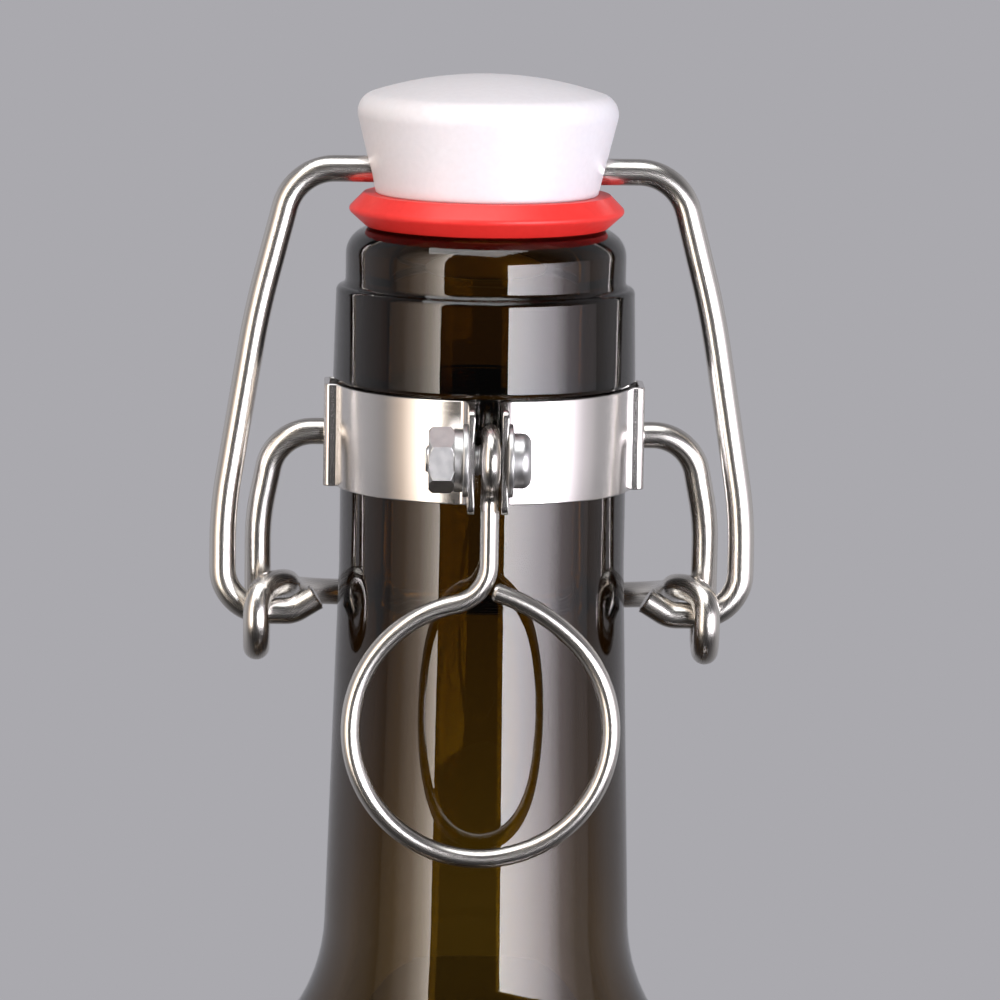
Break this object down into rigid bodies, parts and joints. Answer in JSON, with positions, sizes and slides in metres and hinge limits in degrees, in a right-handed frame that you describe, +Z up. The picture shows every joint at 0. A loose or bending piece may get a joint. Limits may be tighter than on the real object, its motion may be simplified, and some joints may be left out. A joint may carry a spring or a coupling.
{
  "type": "swing top bottle",
  "caption": "Dark glass bottle with a wire swing top closure: lever, stopper bail, plastic stopper with a rubber seal, clamped neck collar and a pull ring.",
  "frame": {"origin": "middle of the bottle's base, on the surface it stands on", "axes": "+Z up along the bottle; the pull ring hangs in front, towards -Y; +X to the right seen from the front"},
  "size_m": [0.0754, 0.0754, 0.3149],
  "materials": {
    "amber_glass": "dark olive-amber container glass, blown and fire polished",
    "collar_steel": "stainless strip, rolled bright, near mirror",
    "hardware_steel": "zinc plated machine screw, nut and washers",
    "wire_steel": "stainless wire, drawn and tumbled bright",
    "white_plastic": "moulded white polypropylene, satin",
    "red_rubber": "moulded red silicone rubber, satin"
  },
  "bodies": {
    "bottle": {"glass_bottle": "amber_glass", "neck_collar": "collar_steel", "clamp_screw": "hardware_steel", "clamp_nut": "hardware_steel", "lock_washer": "hardware_steel", "nut_washer": "hardware_steel", "head_washer": "hardware_steel"},
    "lever": {"lever_bail": "wire_steel"},
    "bail": {"stopper_bail": "wire_steel"},
    "stopper": {"stopper_cap": "white_plastic", "stopper_gasket": "red_rubber"},
    "ring": {"pull_ring": "wire_steel"}
  },
  "joints": [
    {"name": "lever_swing", "type": "hinge", "parent": "bottle", "child": "lever", "pos_m": [0, 0, 0.2799], "axis": [1, 0, 0], "range_deg": [0, 200]},
    {"name": "bail_turn", "type": "hinge", "parent": "lever", "child": "bail", "pos_m": [0, -0.0015, 0.26235], "axis": [1, 0, 0], "range_deg": [-122, 0]},
    {"name": "stopper_tilt", "type": "hinge", "parent": "bail", "child": "stopper", "pos_m": [0, 0, 0.3056], "axis": [1, 0, 0], "range_deg": [-78, 0]},
    {"name": "ring_swing", "type": "hinge", "parent": "bottle", "child": "ring", "pos_m": [0, -0.01945, 0.2799], "axis": [-1, 0, 0], "range_deg": [-5, 110]}
  ],
  "couplings": [
    {"joint": "bail_turn", "follows": "lever_swing", "ratio": -0.61},
    {"joint": "stopper_tilt", "follows": "lever_swing", "ratio": -0.39}
  ]
}
